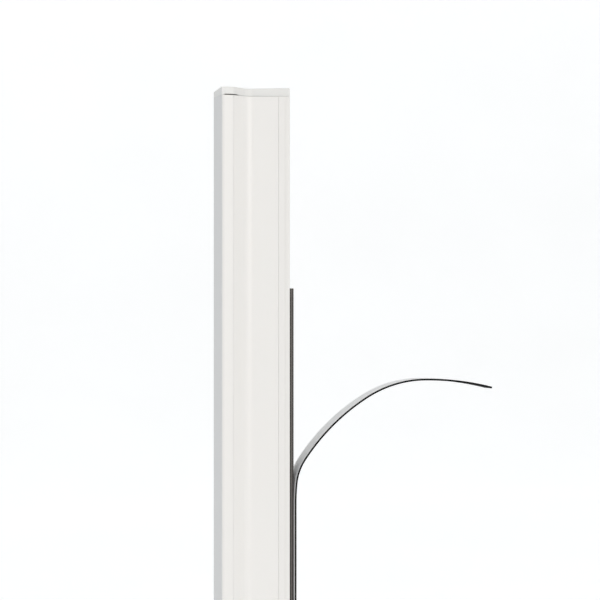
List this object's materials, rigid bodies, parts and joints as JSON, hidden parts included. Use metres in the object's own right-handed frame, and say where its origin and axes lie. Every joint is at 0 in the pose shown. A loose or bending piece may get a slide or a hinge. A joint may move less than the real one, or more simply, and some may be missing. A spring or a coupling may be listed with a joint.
{
  "type": "stick-on LED light bar",
  "caption": "Slim self-adhesive LED light bar: waved white profile with opal diffuser, end caps, foam tape whose release liner is half peeled.",
  "frame": {"origin": "centre of the foam tape's wall-side adhesive face", "axes": "+X out of the adhesive towards the wall; the light leaves along -Y; +Z along the bar towards the plain end cap"},
  "size_m": [0.0914, 0.0114, 0.3013],
  "materials": {
    "powder_white": "satin powder coat",
    "opal": "satin opal",
    "cap_white": "satin moulded",
    "screw_steel": "zinc plated",
    "thermal_grey": "matt",
    "board_white": "white solder mask",
    "led_case": "matt",
    "phosphor": "resin",
    "chip_black": "matt",
    "can_metal": "drawn",
    "tinned_copper": "tinned",
    "socket_black": "moulded",
    "contact_brass": "plated",
    "spring_steel": "bright",
    "button_white": "satin moulded",
    "foam_grey": "closed-cell foam",
    "adhesive": "tacky acrylic",
    "liner": "coated film, pale grey release side"
  },
  "bodies": {
    "bar": {"housing_extrusion": "powder_white", "diffuser": "opal", "top_end_cap": "cap_white", "top_cap_screws": "screw_steel", "bottom_end_cap": "cap_white", "bottom_cap_screws": "screw_steel", "thermal_tape": "thermal_grey", "led_board": "board_white", "leds": "led_case", "led_phosphors": "phosphor", "led_resistors": "chip_black", "control_board": "board_white", "control_board_tape": "thermal_grey", "board_links": "tinned_copper", "controller_chip": "chip_black", "power_transistor": "chip_black", "filter_capacitors": "can_metal", "dc_socket_body": "socket_black", "dc_socket_pin": "contact_brass", "dc_socket_contact": "contact_brass", "switch_body": "chip_black", "switch_dome": "spring_steel", "bar_side_adhesive": "adhesive", "foam_tape_core": "foam_grey", "wall_side_adhesive": "adhesive", "release_liner_laid": "liner"},
    "liner_flap": {"release_liner_peeled": "liner"},
    "button": {"push_button": "button_white", "switch_plunger": "chip_black"}
  },
  "joints": [
    {"name": "liner_peel", "type": "hinge", "parent": "bar", "child": "liner_flap", "pos_m": [0.00065, 0, 0.0174], "axis": [0, 1, 0], "range_deg": [0, 85], "stiffness_Nm_per_rad": 0.0015, "springref_deg": -11.46},
    {"name": "button_press", "type": "slide", "parent": "bar", "child": "button", "axis": [0, 0, 1], "range_m": [0, 0.0003], "stiffness_N_per_m": 500, "springref_m": -0.0001, "deforming": ["switch_dome"]}
  ]
}
